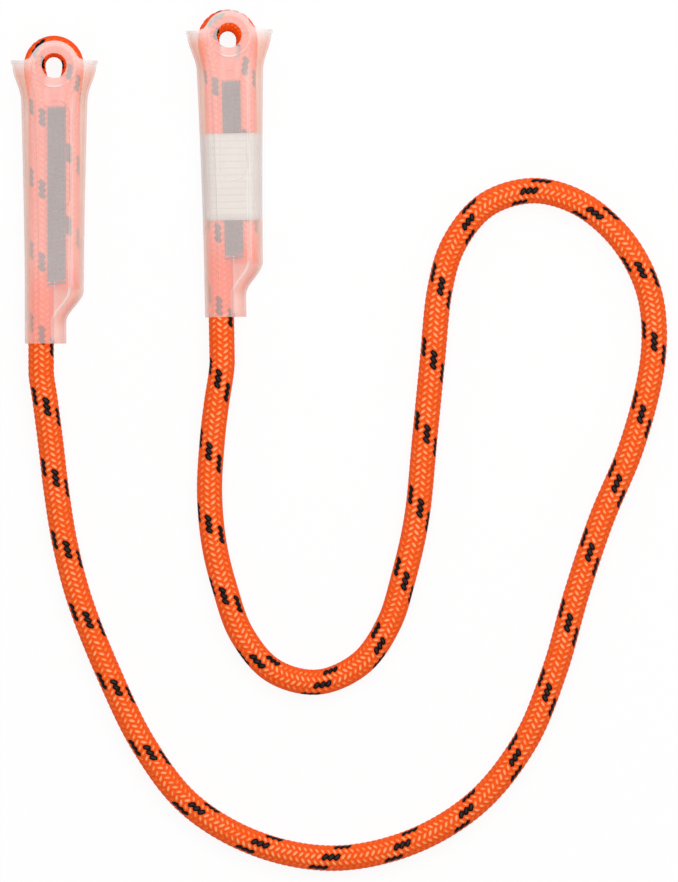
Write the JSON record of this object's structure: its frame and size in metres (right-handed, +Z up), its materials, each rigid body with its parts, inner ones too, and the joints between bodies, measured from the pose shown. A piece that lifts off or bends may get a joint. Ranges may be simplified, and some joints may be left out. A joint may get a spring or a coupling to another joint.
{
  "type": "self-belay lanyard",
  "caption": "Kernmantle rope lanyard with a stitched eye at each end, each end covered by a soft moulded sleeve with a ring for a connector.",
  "frame": {"origin": "on the surface that the lanyard lies on, at the middle of the box round its two sewn ends", "axes": "+Z up, away from the surface; +Y along the sewn ends, towards their eyes; +X from end A to end B"},
  "size_m": [0.2789, 0.3661, 0.016],
  "materials": {
    "mantle": "tight braid in bright orange with a dark tracer",
    "core": "laid white yarn",
    "thread": "dull dark sewing thread",
    "sleeve": "milky translucent, satin",
    "label": "thin pale film"
  },
  "bodies": {
    "rope": {"mantle_free": "mantle", "mantle_eye_a": "mantle", "mantle_eye_b": "mantle", "core_free_0": "core", "core_free_1": "core", "core_free_2": "core", "core_free_3": "core", "core_free_4": "core", "core_free_5": "core", "core_free_6": "core", "core_eye_a_0": "core", "core_eye_a_1": "core", "core_eye_a_2": "core", "core_eye_a_3": "core", "core_eye_a_4": "core", "core_eye_a_5": "core", "core_eye_a_6": "core", "core_eye_b_0": "core", "core_eye_b_1": "core", "core_eye_b_2": "core", "core_eye_b_3": "core", "core_eye_b_4": "core", "core_eye_b_5": "core", "core_eye_b_6": "core", "stitching_front_a": "thread", "stitching_back_a": "thread", "stitching_front_b": "thread", "stitching_back_b": "thread", "label_b": "label"},
    "sleeve_a": {"sleeve_a": "sleeve"},
    "sleeve_b": {"sleeve_b": "sleeve"}
  },
  "joints": [
    {"name": "sleeve_a_slide", "type": "slide", "parent": "rope", "child": "sleeve_a", "axis": [0, -1, 0], "range_m": [-0.0019, 0.02]},
    {"name": "sleeve_b_slide", "type": "slide", "parent": "rope", "child": "sleeve_b", "axis": [0.0187, -0.9998, 0], "range_m": [0, 0.02]}
  ]
}
